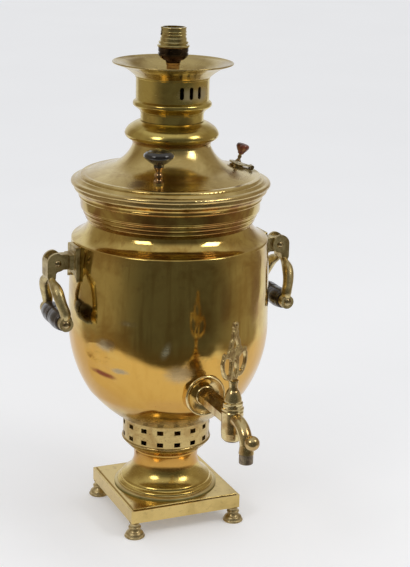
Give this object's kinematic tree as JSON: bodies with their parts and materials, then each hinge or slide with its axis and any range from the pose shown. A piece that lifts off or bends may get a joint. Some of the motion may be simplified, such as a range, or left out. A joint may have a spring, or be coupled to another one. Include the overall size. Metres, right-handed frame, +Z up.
{
  "type": "samovar lamp base",
  "caption": "Brass urn on a square footed base with a tap, swinging handles, a lift-off lid round a flue, and a dish with a lampholder on top.",
  "frame": {"origin": "on the urn's axis at the level of the table", "axes": "+Z up along the flue, the tap points along -Y, the handles hang at +X and -X"},
  "size_m": [0.2842, 0.3426, 0.549],
  "materials": {
    "brass": "polished, slightly patinated",
    "cast_brass": "cast, satin and greyer",
    "dark_brass": "darkened",
    "iron": "sooty",
    "black_wood": "ebonised and polished",
    "red_wood": "varnished",
    "insulator": "moulded",
    "spring_steel": "drawn wire"
  },
  "bodies": {
    "urn": {"foot_front_left": "cast_brass", "foot_front_right": "cast_brass", "foot_rear_left": "cast_brass", "foot_rear_right": "cast_brass", "base_plate": "brass", "pedestal": "brass", "gallery_ring": "brass", "urn_body": "brass", "fire_tube": "brass", "fire_grate": "iron", "cornice_ring": "brass", "tap_escutcheon": "brass", "tap_body": "cast_brass", "tap_backing": "cast_brass", "tap_nut": "cast_brass", "spout_nozzle": "dark_brass", "handle_bracket_left": "cast_brass", "handle_bracket_right": "cast_brass", "handle_pin_left": "dark_brass", "handle_pin_right": "dark_brass"},
    "tap_key": {"tap_plug": "cast_brass", "tap_key": "cast_brass", "plug_washer": "cast_brass", "plug_screw": "cast_brass"},
    "handle_right": {"handle_bail_right": "cast_brass", "handle_rod_right": "cast_brass", "handle_grip_right": "black_wood"},
    "handle_left": {"handle_bail_left": "cast_brass", "handle_rod_left": "cast_brass", "handle_grip_left": "black_wood"},
    "lid": {"lid_shell": "brass", "lid_skirt": "brass", "lid_ring": "brass", "knob_nuts": "cast_brass", "vent_seat": "brass", "vent_pin": "dark_brass", "knob_stem_front": "brass", "knob_stem_rear": "brass", "knob_head_front": "black_wood", "knob_head_rear": "black_wood"},
    "vent": {"vent_flap": "brass", "vent_stem": "dark_brass", "vent_knob": "red_wood"},
    "crown": {"crown_collar": "brass", "crown_dish": "brass", "lamp_plate": "brass", "lamp_tube": "cast_brass", "lamp_nut": "cast_brass", "lamp_stem": "brass", "holder_cap": "dark_brass", "shade_ring": "brass", "shade_nut": "brass", "holder_skirt": "brass", "holder_barrel": "brass", "contact_block": "insulator", "contact_spring_front": "spring_steel", "contact_spring_rear": "spring_steel"},
    "contact_front": {"contact_plunger_front": "dark_brass"},
    "contact_rear": {"contact_plunger_rear": "dark_brass"}
  },
  "joints": [
    {"name": "tap_turn", "type": "hinge", "parent": "urn", "child": "tap_key", "pos_m": [0, -0.1765, 0.175], "axis": [0, 0, 1], "continuous": true},
    {"name": "handle_right_swing", "type": "hinge", "parent": "urn", "child": "handle_right", "pos_m": [0.1305, 0, 0.3045], "axis": [0, -1, 0], "range_deg": [-6, 85]},
    {"name": "handle_left_swing", "type": "hinge", "parent": "urn", "child": "handle_left", "pos_m": [-0.1305, 0, 0.3045], "axis": [0, 1, 0], "range_deg": [-6, 85]},
    {"name": "lid_lift", "type": "slide", "parent": "urn", "child": "lid", "axis": [0, 0, 1], "range_m": [0, 0.092]},
    {"name": "vent_open", "type": "hinge", "parent": "lid", "child": "vent", "pos_m": [0.08848, -0.0156, 0.39759], "axis": [0.1736, 0.9848, 0], "range_deg": [0, 100]},
    {"name": "crown_lift", "type": "slide", "parent": "lid", "child": "crown", "axis": [0, 0, 1], "range_m": [0, 0.04]},
    {"name": "contact_front_press", "type": "slide", "parent": "crown", "child": "contact_front", "axis": [0, 0, -1], "range_m": [0, 0.003], "stiffness_N_per_m": 800, "springref_m": -0.001, "deforming": ["contact_spring_front"]},
    {"name": "contact_rear_press", "type": "slide", "parent": "crown", "child": "contact_rear", "axis": [0, 0, -1], "range_m": [0, 0.003], "stiffness_N_per_m": 800, "springref_m": -0.001, "deforming": ["contact_spring_rear"]}
  ]
}
